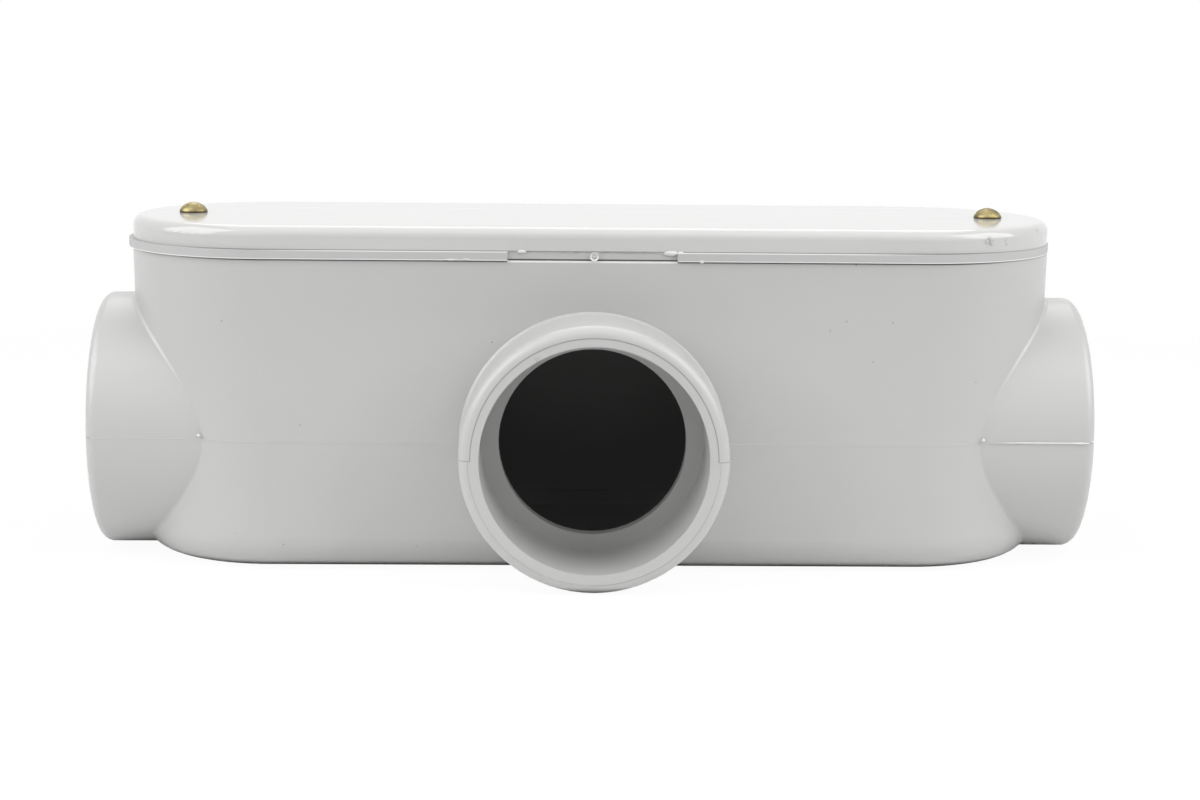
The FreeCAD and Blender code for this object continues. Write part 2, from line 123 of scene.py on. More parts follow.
class ScrewSizes(bpy.types.PropertyGroup):
    """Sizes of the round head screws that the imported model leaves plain"""
    head_diameter: length_setting("Head diameter", "Diameter of the head", 7.85)
    head_height: length_setting("Head height", "Height of the head's crown above its seat", 2.9)
    head_edge: length_setting("Head edge", "Height of the straight edge below the dome", 0.6)
    dome_rings: IntProperty(
        name="Dome rings", description="Steps from the edge of the head to its crown", default=9, min=2)
    slot_width: length_setting("Slot width", "Width of the driver slot", 1.15)
    slot_depth: length_setting("Slot depth", "Depth of the driver slot below the crown", 1.5)
    slot_angle_left: FloatProperty(
        name="Left slot", description="Direction of the left screw's slot from +X",
        default=math.radians(38), subtype="ANGLE")
    slot_angle_right: FloatProperty(
        name="Right slot", description="Direction of the right screw's slot from +X",
        default=math.radians(4), subtype="ANGLE")
    thread_diameter: length_setting("Thread diameter", "Diameter over the thread", 4.1)
    core_diameter: length_setting("Core diameter", "Diameter at the root of the thread", 3.2)
    thread_pitch: length_setting(
        "Thread pitch", "From one turn to the next, 32 turns to the inch", 0.794)
    thread_turns: IntProperty(
        name="Thread turns", description="Turns of thread on the shank", default=22, min=1)


class Finishes(bpy.types.PropertyGroup):
    """Colours of the materials"""
    housing_light: colour_setting("Housing, light", "Moulded PVC where the melt is paler", "#BEBEBD")
    housing_dark: colour_setting("Housing, dark", "Moulded PVC where the melt is greyer", "#B7B7B6")
    # painted shade: the sockets' PVC is made a little greyer to stand for the shade inside them
    socket_painted_shade: colour_setting("Housing, socket shade", "Moulded PVC in the sockets, painted a little greyer as shade", "#B3B3B2")
    # painted shade: the chamber's walls are made dark grey to stand for the shade inside it
    chamber_painted_shade: colour_setting(
        "Housing, chamber shade", "Moulded PVC of the chamber's walls, painted dark grey as shade", "#5E5E5D")
    cover_light: colour_setting("Cover, light", "Polished PVC where it is paler", "#C6C6C5")
    cover_dark: colour_setting("Cover, dark", "Polished PVC where it is greyer", "#C1C1C0")
    gasket_tint: colour_setting("Gasket", "Soft PVC of the gasket", "#B4B5B4")
    brass_bright: colour_setting("Brass, bright", "Brass on the rubbed crown of a head", "#988D66")
    brass_dull: colour_setting("Brass, dull", "Brass that has begun to tarnish", "#74684A")
    brass_low_edge: colour_setting(
        "Brass, low edge", "Brass low on a head's edge, where it is darker", "#38311F")
    scuff: colour_setting("Scuffs", "Dirt rubbed into the plastic", "#6A6660")
    # painted shade: dark lines in the joints between parts, along the rims' marks and under the box
    painted_shade: colour_setting("Painted shade", "Painted shade in joints, along marks and under the box", "#4C4B48")
    # painted highlight along the edges of the gasket and the rim, and the pale colour of flash
    rubbed: colour_setting("Highlights and flash", "Plastic rubbed pale along an edge", "#E6E6E4")
    floor: colour_setting("Floor", "Studio paper round the object", "#F4F4F4")
    floor_far: colour_setting("Floor, far", "Studio paper further out", "#6E6E6E")


class StudioSettings(bpy.types.PropertyGroup):
    """Lamps and camera"""
    key_power: power_setting("Key lamp", "Power of the large soft box overhead", 4.6)
    back_power: power_setting("Back lamp", "Power of the soft box overhead at the back", 6.5)
    side_power: power_setting(
        "Side lamps", "Power of each of the soft boxes at the front corners", 4.6)
    end_power: power_setting(
        "End lamps", "Power of each of the soft boxes beyond the end hubs", 14.8)
    sky_strength: FloatProperty(
        name="Room light", description="Light that comes from the whole room", default=0.02, min=0)
    lens: FloatProperty(
        name="Lens", description="Focal length on a 36 mm wide sensor",
        default=71.82, min=1, unit="CAMERA")


# ---------------------------------------------------------------------------
# Helpers
# ---------------------------------------------------------------------------

def work_on(piece):
    """Leaves edit mode and makes one piece, or none, the only selected and the active object."""
    if bpy.context.object and bpy.context.object.mode != "OBJECT":
        bpy.ops.object.mode_set(mode="OBJECT")
    bpy.ops.object.select_all(action="DESELECT")
    if piece:
        piece.select_set(True)
        bpy.context.view_layer.objects.active = piece


def clear_selection(piece, kind):
    """Deselects all of a piece's mesh, for a choice of its faces or edges in object mode."""
    work_on(piece)
    bpy.ops.object.mode_set(mode="EDIT")
    bpy.ops.mesh.select_mode(type=kind)
    bpy.ops.mesh.select_all(action="DESELECT")
    bpy.ops.object.mode_set(mode="OBJECT")


def select_faces(piece, wanted):
    """Goes into edit mode with only the faces whose centre and normal pass a test."""
    clear_selection(piece, "FACE")
    for face in piece.data.polygons:
        face.select = wanted(piece.matrix_world @ face.center, face.normal)
    bpy.ops.object.mode_set(mode="EDIT")


def select_edges(piece, wanted):
    """Goes into edit mode with only the edges whose two ends pass a test."""
    clear_selection(piece, "EDGE")
    for edge in piece.data.edges:
        edge.select = all(wanted(piece.data.vertices[i].co) for i in edge.vertices)
    bpy.ops.object.mode_set(mode="EDIT")


def apply_modifier(piece, kind, **settings):
    """Adds a modifier with its settings and applies it at once."""
    work_on(piece)
    modifier = piece.modifiers.new(kind.title(), kind)
    for name, value in settings.items():
        setattr(modifier, name, value)
    bpy.ops.object.modifier_apply(modifier=modifier.name)


def uneven_lumps(rows, segments, rings):
    """Small uneven lumps, each from its place and half sizes in mm and the seed of its unevenness."""
    lumps = []
    for x, y, z, long, deep, high, seed in rows:
        work_on(None)
        bpy.ops.mesh.primitive_uv_sphere_add(
            segments=segments, ring_count=rings, radius=MM, location=(x * MM, y * MM, z * MM),
            scale=(long, deep, high), enter_editmode=True)
        bpy.ops.transform.vertex_random(offset=0.1 * MM, uniform=0.6, normal=0.4, seed=seed)
        bpy.ops.mesh.vertices_smooth(factor=0.5, repeat=2)
        bpy.ops.object.mode_set(mode="OBJECT")
        lumps.append(bpy.context.object)
    return lumps


def copied(piece, shift):
    """A copy of a piece, with a mesh of its own, moved by a shift."""
    copy = piece.copy()
    copy.data = piece.data.copy()
    copy.location += shift
    bpy.context.scene.collection.objects.link(copy)
    bpy.context.view_layer.update()
    return copy


def joined(pieces):
    """Joins pieces into the first of them."""
    work_on(pieces[0])
    for piece in pieces[1:]:
        piece.select_set(True)
    bpy.ops.object.join()
    return pieces[0]


def hand_over(piece, name, body, material):
    """Applies a finished piece's place and gives it a name, material and body."""
    work_on(piece)
    bpy.ops.object.transform_apply(location=True, rotation=True, scale=True)
    bpy.ops.object.shade_smooth_by_angle(angle=math.radians(35))
    piece.name = name
    piece.data.materials.clear()
    piece.data.materials.append(material)
    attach(piece, body)


def coat(node, material):
    """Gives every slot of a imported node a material."""
    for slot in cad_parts[node].material_slots:
        slot.material = material


def add_node(tree, kind, links=None, **settings):
    """A node with its settings, and its inputs as values or as the sockets or nodes that feed them."""
    made = tree.nodes.new(kind)
    for name, value in settings.items():
        setattr(made, name, value)
    for name, value in (links or {}).items():
        if isinstance(value, bpy.types.Node):
            value = next(socket for socket in value.outputs if socket.enabled)
        if isinstance(value, bpy.types.NodeSocket):
            tree.links.new(value, made.inputs[name])
        else:
            made.inputs[name].default_value = value
    return made


def new_material(name):
    """A material with an empty node tree, and the object coordinates in it."""
    material = bpy.data.materials.new(name)
    material.use_nodes = True
    tree = material.node_tree
    tree.nodes.clear()
    return material, tree, add_node(tree, "ShaderNodeTexCoord").outputs["Object"]


def opaque(colour):
    """A colour with its alpha, as a node's socket takes it."""
    return (*colour, 1.0)


def layered(tree, colour, *layers):
    """A colour with others laid over it in turn, each by its own share."""
    for share, tint in layers:
        colour = add_node(tree, "ShaderNodeMix", {"Factor": share, "A": colour, "B": opaque(tint)},
                          data_type="RGBA")
    return colour


# ---------------------------------------------------------------------------
# Masks that the materials share
# ---------------------------------------------------------------------------

def scuff_mask(tree, place, spots):
    """Where small scuffs lie: round a few points, broken up by a fine grit."""
    grit = add_node(tree, "ShaderNodeTexNoise", {"Vector": place, "Scale": 1 / (0.9 * MM), "Detail": 3.0})
    broken = add_node(tree, "ShaderNodeMapRange", {"Value": grit, "From Min": 0.42, "From Max": 0.62})
    shares = []
    for x, y, z, radius, strength in spots:
        reach = add_node(tree, "ShaderNodeVectorMath", {0: place, 1: (x * MM, y * MM, z * MM)},
                         operation="DISTANCE")
        shares.append(add_node(tree, "ShaderNodeMapRange", {
            "Value": reach, "From Min": radius * MM, "From Max": 0.2 * radius * MM, "To Max": strength},
            interpolation_type="SMOOTHSTEP"))
    total = shares[0]
    for share in shares[1:]:
        total = add_node(tree, "ShaderNodeMath", {0: total, 1: share}, operation="MAXIMUM")
    return add_node(tree, "ShaderNodeMath", {0: total, 1: broken}, operation="MULTIPLY")


def band(tree, height, low, high, soft=0.12 * MM):
    """1 between two heights and 0 outside, with soft edges."""
    rising = add_node(tree, "ShaderNodeMapRange", {
        "Value": height, "From Min": low - soft, "From Max": low + soft})
    falling = add_node(tree, "ShaderNodeMapRange", {
        "Value": height, "From Min": high + soft, "From Max": high - soft})
    return add_node(tree, "ShaderNodeMath", {0: rising, 1: falling}, operation="MULTIPLY")


def front_share(tree, across):
    """1 along the straight front and less round the ends, where the painted shade in the joint is fainter."""
    straight, turned = -39.5 * MM, -33 * MM
    return add_node(tree, "ShaderNodeMapRange", {
        "Value": across["Y"], "From Min": straight, "From Max": turned, "To Min": 1.0, "To Max": 0.4})


def set_back_share(tree, across):
    """1 along the stretch of the front where the gasket is set back, and 0 elsewhere."""
    half_length, front = 22.85 * MM, -39 * MM
    off = add_node(tree, "ShaderNodeMath", {0: across["X"], 1: gasket_middle}, operation="SUBTRACT")
    away = add_node(tree, "ShaderNodeMath", {0: off}, operation="ABSOLUTE")
    along = add_node(tree, "ShaderNodeMath", {0: away, 1: half_length}, operation="LESS_THAN")
    before = add_node(tree, "ShaderNodeMath", {0: across["Y"], 1: front}, operation="LESS_THAN")
    return add_node(tree, "ShaderNodeMath", {0: along, 1: before}, operation="MULTIPLY")


def from_spine(tree, across):
    """Distance from the line that the box's round-ended outlines are drawn about."""
    away = add_node(tree, "ShaderNodeMath", {0: across["X"]}, operation="ABSOLUTE")
    beyond = add_node(tree, "ShaderNodeMath", {0: away, 1: SPINE_HALF_LENGTH}, operation="SUBTRACT")
    past = add_node(tree, "ShaderNodeMath", {0: beyond, 1: 0.0}, operation="MAXIMUM")
    flat = add_node(tree, "ShaderNodeCombineXYZ", {"X": past, "Y": across["Y"]})
    return add_node(tree, "ShaderNodeVectorMath", {0: flat}, operation="LENGTH")


def about_hubs(tree, across):
    """The height above the hubs' axes, and then for the side hub and for both end hubs the distance
    from the axis, the distance out along it, and how far out the rim stands."""
    height = add_node(tree, "ShaderNodeMath", {0: across["Z"], 1: HUB_AXIS}, operation="SUBTRACT")
    forward = add_node(tree, "ShaderNodeMath", {0: across["Y"], 1: -1.0}, operation="MULTIPLY")
    away = add_node(tree, "ShaderNodeMath", {0: across["X"]}, operation="ABSOLUTE")
    hubs = []
    for sideways, outward, rim in (("X", forward, -housing_low.y), ("Y", away, housing_high.x)):
        flat = add_node(tree, "ShaderNodeCombineXYZ", {"X": across[sideways], "Y": height})
        radius = add_node(tree, "ShaderNodeVectorMath", {0: flat}, operation="LENGTH")
        hubs.append((radius, outward, rim))
    return height, hubs


def core_masks(tree, across, out, hubs):
    """1 in the sockets and 1 in the chamber, which the mould's cores shape, and 0 on the outside."""
    margin = 0.1 * MM
    bores = []
    for radius, outward, rim in hubs:
        narrow = add_node(tree, "ShaderNodeMath", {0: radius, 1: BORE_RADIUS}, operation="LESS_THAN")
        within_hub = add_node(tree, "ShaderNodeMath", {0: outward, 1: rim - TUBE_LENGTH + margin},
                              operation="GREATER_THAN")
        bores.append(add_node(tree, "ShaderNodeMath", {0: narrow, 1: within_hub}, operation="MULTIPLY"))
    sockets = add_node(tree, "ShaderNodeMath", {0: bores[0], 1: bores[1]}, operation="MAXIMUM")
    within_wall = add_node(tree, "ShaderNodeMath", {0: out, 1: MID_WALL}, operation="LESS_THAN")
    above = add_node(tree, "ShaderNodeMath", {0: across["Z"], 1: UNDER_FLOOR}, operation="GREATER_THAN")
    box = add_node(tree, "ShaderNodeMath", {0: within_wall, 1: above}, operation="MULTIPLY")
    chamber = add_node(tree, "ShaderNodeMath", {0: box, 1: sockets}, operation="GREATER_THAN")
    return sockets, chamber


def witness_marks(tree, height, hubs, marks):
    """1 on the rings that the core inserts left on the rims, which step over in the lower mould half,
    and then 1 on those and on the lines at the step, where the mould halves stood a hair apart."""
    ring_half_width, line_half_width, line_length, margin = 0.16 * MM, 0.14 * MM, 2.4 * MM, 0.02 * MM
    below = add_node(tree, "ShaderNodeMath", {0: height, 1: 0.0}, operation="LESS_THAN")
    ring_radius = add_node(tree, "ShaderNodeMath", {
        0: below, 1: marks.witness_step, 2: marks.witness_radius}, operation="MULTIPLY_ADD")
    level = add_node(tree, "ShaderNodeMath", {0: height, 1: 0.0, 2: line_half_width}, operation="COMPARE")
    rings, lines = [], []
    for radius, outward, rim in hubs:
        ring = add_node(tree, "ShaderNodeMath", {0: radius, 1: ring_radius, 2: ring_half_width},
                        operation="COMPARE")
        on_rim = add_node(tree, "ShaderNodeMath", {0: outward, 1: rim - margin},
                          operation="GREATER_THAN")
        rings.append(add_node(tree, "ShaderNodeMath", {0: ring, 1: on_rim}, operation="MULTIPLY"))
        near_rim = add_node(tree, "ShaderNodeMath", {0: outward, 1: rim - line_length},
                            operation="GREATER_THAN")
        past_ring = add_node(tree, "ShaderNodeMath", {0: radius, 1: marks.witness_radius},
                             operation="GREATER_THAN")
        line = add_node(tree, "ShaderNodeMath", {0: near_rim, 1: past_ring}, operation="MULTIPLY")
        lines.append(add_node(tree, "ShaderNodeMath", {0: line, 1: level}, operation="MULTIPLY"))
    both_rings = add_node(tree, "ShaderNodeMath", {0: rings[0], 1: rings[1]}, operation="ADD")
    both_lines = add_node(tree, "ShaderNodeMath", {0: lines[0], 1: lines[1]}, operation="ADD")
    marked = add_node(tree, "ShaderNodeMath", {0: both_rings, 1: both_lines}, operation="MAXIMUM")
    return both_rings, marked


def bleached_rays(tree):
    """1 for what is seen straight, in a reflection or through glass, and 0 for light that is scattered."""
    path = add_node(tree, "ShaderNodeLightPath").outputs
    seen = add_node(tree, "ShaderNodeMath", {0: path["Is Camera Ray"], 1: path["Is Glossy Ray"]},
                    operation="ADD")
    return add_node(tree, "ShaderNodeMath", {0: seen, 1: path["Is Transmission Ray"]},
                    operation="ADD", use_clamp=True)


# ---------------------------------------------------------------------------
# Materials
# ---------------------------------------------------------------------------

def moulded_pvc(finishes, marks):
    """Rigid PVC, injection moulded in a blasted steel mould: pale grey and satin, slightly clouded
    where the melt folded, with a few specks of regrind and the ring of the core insert on each rim."""
    material, tree, place = new_material("moulded_pvc_satin")
    across = add_node(tree, "ShaderNodeSeparateXYZ", {"Vector": place}).outputs
    out = from_spine(tree, across)
    height, hubs = about_hubs(tree, across)

    # clouds some 40 mm wide, drawn out lengthwise as the melt flowed
    flow = add_node(tree, "ShaderNodeMapping", {"Vector": place, "Scale": (0.5, 1, 1)})
    clouds = add_node(tree, "ShaderNodeTexNoise", {
        "Vector": flow, "Scale": 1 / (40 * MM), "Detail": 4.0, "Roughness": 0.55})

    # the sockets are matt, as a coarser blasted core leaves them, and painted a little greyer as painted
    # shade inside them; the chamber is painted a much darker grey as painted shade, so that it looks as deep
    # through a hub as the real one does
    sockets, chamber = core_masks(tree, across, out, hubs)
    inside = add_node(tree, "ShaderNodeMath", {0: sockets, 1: chamber}, operation="MAXIMUM")

    # dark specks of regrind, about 0.25 mm in radius, lie scattered through the plastic; scuffs are
    # given by their places and radii in mm and their strengths
    cells = add_node(tree, "ShaderNodeTexVoronoi", {"Vector": place, "Scale": 1 / (11 * MM)})
    specks = add_node(tree, "ShaderNodeMapRange", {
        "Value": cells, "From Min": 0.028, "From Max": 0.018, "To Max": 0.5})
    spots = [(-15, -66, 63, 1.2, 0.6), (18, -66, 5, 1.0, 0.5), (64, -40.5, 67.5, 0.5, 0.8)]
    dirt = add_node(tree, "ShaderNodeMath", {0: specks, 1: scuff_mask(tree, place, spots)},
                    operation="MAXIMUM")
    # real specks and scuffs, and the painted shade of the sockets and the chamber
    dirt_and_core_shade = layered(
        tree, opaque(finishes.housing_light), (clouds, finishes.housing_dark),
        (sockets, finishes.socket_painted_shade), (chamber, finishes.chamber_painted_shade), (dirt, finishes.scuff))

    # painted shade lies along the outer edge of the joint under the gasket, except where the gasket is set
    # back: there the rim's top edge gets a painted highlight
    top, joint_shade_height, rim_highlight_height = housing_high.z, 0.42 * MM, 0.5 * MM
    rim = band(tree, across["Z"], top - joint_shade_height, top + 1 * MM)
    rim_highlight = band(tree, across["Z"], top - rim_highlight_height, top + 1 * MM)
    outermost = add_node(tree, "ShaderNodeMapRange", {
        "Value": out, "From Min": RIM_CORNER[0], "From Max": RIM_CORNER[1]})
    edge = add_node(tree, "ShaderNodeMath", {0: rim, 1: outermost}, operation="MULTIPLY")
    front_joint_shade = add_node(tree, "ShaderNodeMath", {0: edge, 1: front_share(tree, across)},
                     operation="MULTIPLY")
    # painted shade below the gasket, and a painted highlight on the rim where the gasket is set back
    joint_shaded = layered(tree, dirt_and_core_shade, (front_joint_shade, finishes.painted_shade))
    rim_highlit = layered(tree, dirt_and_core_shade, (rim_highlight, finishes.rubbed))
    edged = add_node(tree, "ShaderNodeMix", {
        "Factor": set_back_share(tree, across), "A": joint_shaded, "B": rim_highlit}, data_type="RGBA")

    # painted shade darkens the underside up to 2.4 mm above the bench, and a little painted shade lies
    # along the marks of the core inserts
    underside_shade = add_node(tree, "ShaderNodeMapRange", {
        "Value": across["Z"], "From Min": 2.4 * MM, "From Max": 0.6 * MM, "To Max": 0.85},
        interpolation_type="SMOOTHSTEP")
    rings, marked = witness_marks(tree, height, hubs, marks)
    marks_shade = add_node(tree, "ShaderNodeMath", {0: marked, 1: 0.4}, operation="MULTIPLY")
    colour = layered(tree, edged, (underside_shade, finishes.painted_shade), (marks_shade, finishes.painted_shade))

    # satin outside and matt inside, with the blasted mould's grain, drawn 0.5 mm coarse so that it
    # shows, slight sinks where the melt cooled unevenly, and the edge of each ring
    satin = add_node(tree, "ShaderNodeMapRange", {"Value": clouds, "To Min": 0.27, "To Max": 0.4})
    rough = add_node(tree, "ShaderNodeMath", {0: inside, 1: 0.25, 2: satin}, operation="MULTIPLY_ADD")
    grain = add_node(tree, "ShaderNodeTexNoise", {"Vector": place, "Scale": 1 / (0.5 * MM), "Detail": 2.0})
    skin = add_node(tree, "ShaderNodeBump", {"Strength": 0.12, "Distance": 0.03 * MM, "Height": grain})
    sinks = add_node(tree, "ShaderNodeBump", {
        "Strength": 0.5, "Distance": 0.25 * MM, "Height": clouds, "Normal": skin})
    ringed = add_node(tree, "ShaderNodeBump", {
        "Strength": 1.0, "Distance": 0.12 * MM, "Height": rings, "Normal": sinks})
    shader = add_node(tree, "ShaderNodeBsdfPrincipled", {
        "Base Color": colour, "Roughness": rough, "IOR": RIGID_PVC, "Normal": ringed})
    add_node(tree, "ShaderNodeOutputMaterial", {"Surface": shader})
    return material


def squeezed_flash(name, thin, thick, ripple_width, swell, roughness, index):
    """PVC that was squeezed from a mould in a skin: its colour and its height ripple together."""
    material, tree, place = new_material(name)
    ripple = add_node(tree, "ShaderNodeTexNoise", {"Vector": place, "Scale": 1 / ripple_width, "Detail": 2.0})
    bump = add_node(tree, "ShaderNodeBump", {"Strength": swell, "Distance": 0.05 * MM, "Height": ripple})
    shader = add_node(tree, "ShaderNodeBsdfPrincipled", {
        "Base Color": layered(tree, opaque(thin), (ripple, thick)), "Roughness": roughness,
        "IOR": index, "Normal": bump})
    add_node(tree, "ShaderNodeOutputMaterial", {"Surface": shader})
    return material


def flash_pvc(name, thin, thick):
    """The housing's PVC where it was squeezed out between the mould halves: paler where it is thin, partly
    the thin skin's own colour and partly painted highlight, and a little glossier."""
    return squeezed_flash(name, thin, thick, 3 * MM, 0.4, 0.35, RIGID_PVC)


def soft_flash(finishes):
    """The gasket's flexible PVC where it leaked from the mould: thin and waxy, and paler, partly as thin
    flash is and partly as painted highlight.
    """
    return squeezed_flash("soft_pvc_flash", finishes.rubbed, finishes.cover_light, 1.2 * MM, 0.3, 0.4,
                          SOFT_PVC)


def polished_pvc(finishes):
    """Rigid PVC, injection moulded in a polished mould: glossy with a faint orange peel, fine
    scratches from handling, and a few rubbed scuffs on the front edge."""
    material, tree, place = new_material("moulded_pvc_polished")
    across = add_node(tree, "ShaderNodeSeparateXYZ", {"Vector": place}).outputs
    clouds = add_node(tree, "ShaderNodeTexNoise", {"Vector": place, "Scale": 1 / (45 * MM), "Detail": 3.0})
    # scuffs, by their places and radii in mm and their strengths
    spots = [(106.5, -35.5, 91.5, 2.4, 0.9), (112, -32.5, 91.2, 1.6, 0.8), (124, -22, 93.8, 2.2, 0.5)]
    scuffs = scuff_mask(tree, place, spots)

    # a fine line of painted shade where the edge sits on the gasket
    foot = band(tree, across["Z"], cover_low.z - 1 * MM, cover_low.z + 0.22 * MM)
    front_joint_shade = add_node(tree, "ShaderNodeMath", {0: foot, 1: front_share(tree, across)}, operation="MULTIPLY")
    thin = add_node(tree, "ShaderNodeMath", {0: front_joint_shade, 1: 0.7}, operation="MULTIPLY")
    colour = layered(tree, opaque(finishes.cover_light), (clouds, finishes.cover_dark),
                     (scuffs, finishes.scuff), (thin, finishes.painted_shade))

    # hairline scratches, drawn 0.25 mm wide so that they show
    streaks = add_node(tree, "ShaderNodeMapping", {
        "Vector": place, "Rotation": (0, 0, math.radians(24)), "Scale": (0.05, 1, 1)})
    lines = add_node(tree, "ShaderNodeTexNoise", {"Vector": streaks, "Scale": 1 / (1.2 * MM), "Detail": 1.0})
    scratches = add_node(tree, "ShaderNodeMapRange", {
        "Value": lines, "From Min": 0.68, "From Max": 0.74, "To Min": 0.1, "To Max": 0.2})
    rough = add_node(tree, "ShaderNodeMath", {0: scuffs, 1: 0.4, 2: scratches}, operation="MULTIPLY_ADD")
    peel = add_node(tree, "ShaderNodeTexNoise", {"Vector": place, "Scale": 1 / (5 * MM), "Detail": 2.0})
    bump = add_node(tree, "ShaderNodeBump", {"Strength": 0.15, "Distance": 0.05 * MM, "Height": peel})
    shader = add_node(tree, "ShaderNodeBsdfPrincipled", {
        "Base Color": colour, "Roughness": rough, "IOR": RIGID_PVC, "Normal": bump})
    add_node(tree, "ShaderNodeOutputMaterial", {"Surface": shader})
    return material


def soft_pvc(finishes):
    """Flexible PVC, moulded and slightly tacky: matt, with a haze of fine dust stuck to it."""
    material, tree, place = new_material("soft_pvc_gasket")
    across = add_node(tree, "ShaderNodeSeparateXYZ", {"Vector": place}).outputs
    haze = add_node(tree, "ShaderNodeTexNoise", {"Vector": place, "Scale": 1 / (14 * MM), "Detail": 3.0})
    dusty = [min(1.0, part * 1.06) for part in finishes.gasket_tint]

    # its squeezed edges get a painted highlight, the top one only over the middle; where it is set back,
    # painted shade lies at its foot instead
    low, high, soft = gasket_low.z, gasket_high.z, 0.05 * MM
    top = band(tree, across["Z"], high - 0.2 * MM, high + 1 * MM, soft)
    foot = band(tree, across["Z"], low - 1 * MM, low + 0.22 * MM, soft)
    deep_foot = band(tree, across["Z"], low - 1 * MM, low + 0.45 * MM, soft)
    away = add_node(tree, "ShaderNodeMath", {0: across["X"]}, operation="ABSOLUTE")
    over_middle = add_node(tree, "ShaderNodeMapRange", {
        "Value": away, "From Min": 92 * MM, "From Max": 70 * MM})
    top_share = add_node(tree, "ShaderNodeMath", {0: top, 1: over_middle}, operation="MULTIPLY")
    edged = layered(tree, opaque(finishes.gasket_tint), (haze, dusty), (top_share, finishes.rubbed))
    colour = add_node(tree, "ShaderNodeMix", {
        "Factor": set_back_share(tree, across), "A": layered(tree, edged, (foot, finishes.rubbed)),
        "B": layered(tree, edged, (deep_foot, finishes.painted_shade))}, data_type="RGBA")

    # dust, drawn in grains of 0.4 mm so that it shows
    dust = add_node(tree, "ShaderNodeTexNoise", {"Vector": place, "Scale": 1 / (0.4 * MM), "Detail": 2.0})
    bump = add_node(tree, "ShaderNodeBump", {"Strength": 0.15, "Distance": 0.03 * MM, "Height": dust})
    shader = add_node(tree, "ShaderNodeBsdfPrincipled", {
        "Base Color": colour, "Roughness": 0.6, "IOR": SOFT_PVC, "Normal": bump})
    add_node(tree, "ShaderNodeOutputMaterial", {"Surface": shader})
    return material


def turned_brass(finishes, screw_offset):
    """Free-machining brass, headed and turned: warm metal with fine rings round the head's axis,
    bright where it has been rubbed and duller where it has begun to tarnish."""
    material, tree, place = new_material("turned_brass")
    across = add_node(tree, "ShaderNodeSeparateXYZ", {"Vector": place}).outputs

    # both screws stand at the same distance from the middle; tool marks 0.15 mm apart
    away = add_node(tree, "ShaderNodeMath", {0: across["X"]}, operation="ABSOLUTE")
    off_axis = add_node(tree, "ShaderNodeMath", {0: away, 1: screw_offset}, operation="SUBTRACT")
    flat = add_node(tree, "ShaderNodeCombineXYZ", {"X": off_axis, "Y": across["Y"]})
    radius = add_node(tree, "ShaderNodeVectorMath", {0: flat}, operation="LENGTH")
    turns = add_node(tree, "ShaderNodeMath", {0: radius, 1: math.tau / (0.15 * MM)}, operation="MULTIPLY")
    rings = add_node(tree, "ShaderNodeMath", {0: turns}, operation="SINE")

    # darkest low on the head's edge
    tarnish = add_node(tree, "ShaderNodeTexNoise", {"Vector": place, "Scale": 1 / (2.5 * MM), "Detail": 4.0})
    worn = add_node(tree, "ShaderNodeMapRange", {"Value": tarnish, "From Min": 0.35, "From Max": 0.65})
    edge = band(tree, across["Z"], cover_high.z - 1 * MM, cover_high.z + 0.5 * MM, 0.3 * MM)
    low_edge_dark = add_node(tree, "ShaderNodeMath", {0: edge, 1: 0.85}, operation="MULTIPLY")
    colour = layered(tree, opaque(finishes.brass_bright), (worn, finishes.brass_dull),
                     (low_edge_dark, finishes.brass_low_edge))
    rough = add_node(tree, "ShaderNodeMapRange", {"Value": worn, "To Min": 0.34, "To Max": 0.46})
    bump = add_node(tree, "ShaderNodeBump", {"Strength": 0.25, "Distance": 0.01 * MM, "Height": rings})
    shader = add_node(tree, "ShaderNodeBsdfPrincipled", {
        "Base Color": colour, "Metallic": 1.0, "Roughness": rough, "Normal": bump})
    add_node(tree, "ShaderNodeOutputMaterial", {"Surface": shader})
    return material


def studio_paper(finishes):
    """Matt white paper, which falls off to grey further out. Seen straight or in a reflection it is
    bleached almost to white, so the object's shadow on it stays faint."""
    material, tree, place = new_material("studio_paper")
    off = add_node(tree, "ShaderNodeVectorMath", {0: place}, operation="LENGTH")
    far = add_node(tree, "ShaderNodeMapRange", {
        "Value": off, "From Min": 0.25, "From Max": 0.7}, interpolation_type="SMOOTHSTEP")
    fibre = add_node(tree, "ShaderNodeTexNoise", {"Vector": place, "Scale": 1 / (2 * MM), "Detail": 2.0})
    bump = add_node(tree, "ShaderNodeBump", {"Strength": 0.05, "Distance": 0.02 * MM, "Height": fibre})
    paper = add_node(tree, "ShaderNodeBsdfPrincipled", {
        "Base Color": layered(tree, opaque(finishes.floor), (far, finishes.floor_far)),
        "Roughness": 0.9, "Specular IOR Level": 0.0, "Normal": bump})

    # a faint shadow is left round the object, and none further out
    bleach = add_node(tree, "ShaderNodeMapRange", {
        "Value": off, "From Min": 0.15, "From Max": 0.6, "To Min": 0.95, "To Max": 1.0})
    # close by, a reflection shows the floor as it is lit, so the underside mirrors its shadow
    beyond = add_node(tree, "ShaderNodeMapRange", {"Value": off, "From Min": 0.16, "From Max": 0.35})
    straight = add_node(tree, "ShaderNodeLightPath").outputs["Is Camera Ray"]
    open_to = add_node(tree, "ShaderNodeMath", {0: straight, 1: beyond}, operation="MAXIMUM")
    whitened = add_node(tree, "ShaderNodeMath", {0: bleach, 1: open_to}, operation="MULTIPLY")
    share = add_node(tree, "ShaderNodeMath", {0: bleached_rays(tree), 1: whitened}, operation="MULTIPLY")
    glow = add_node(tree, "ShaderNodeEmission", {"Color": (1, 1, 1, 1), "Strength": 1.0})
    mixed = add_node(tree, "ShaderNodeMixShader", {0: share, 1: paper, 2: glow})
    add_node(tree, "ShaderNodeOutputMaterial", {"Surface": mixed})
    return material


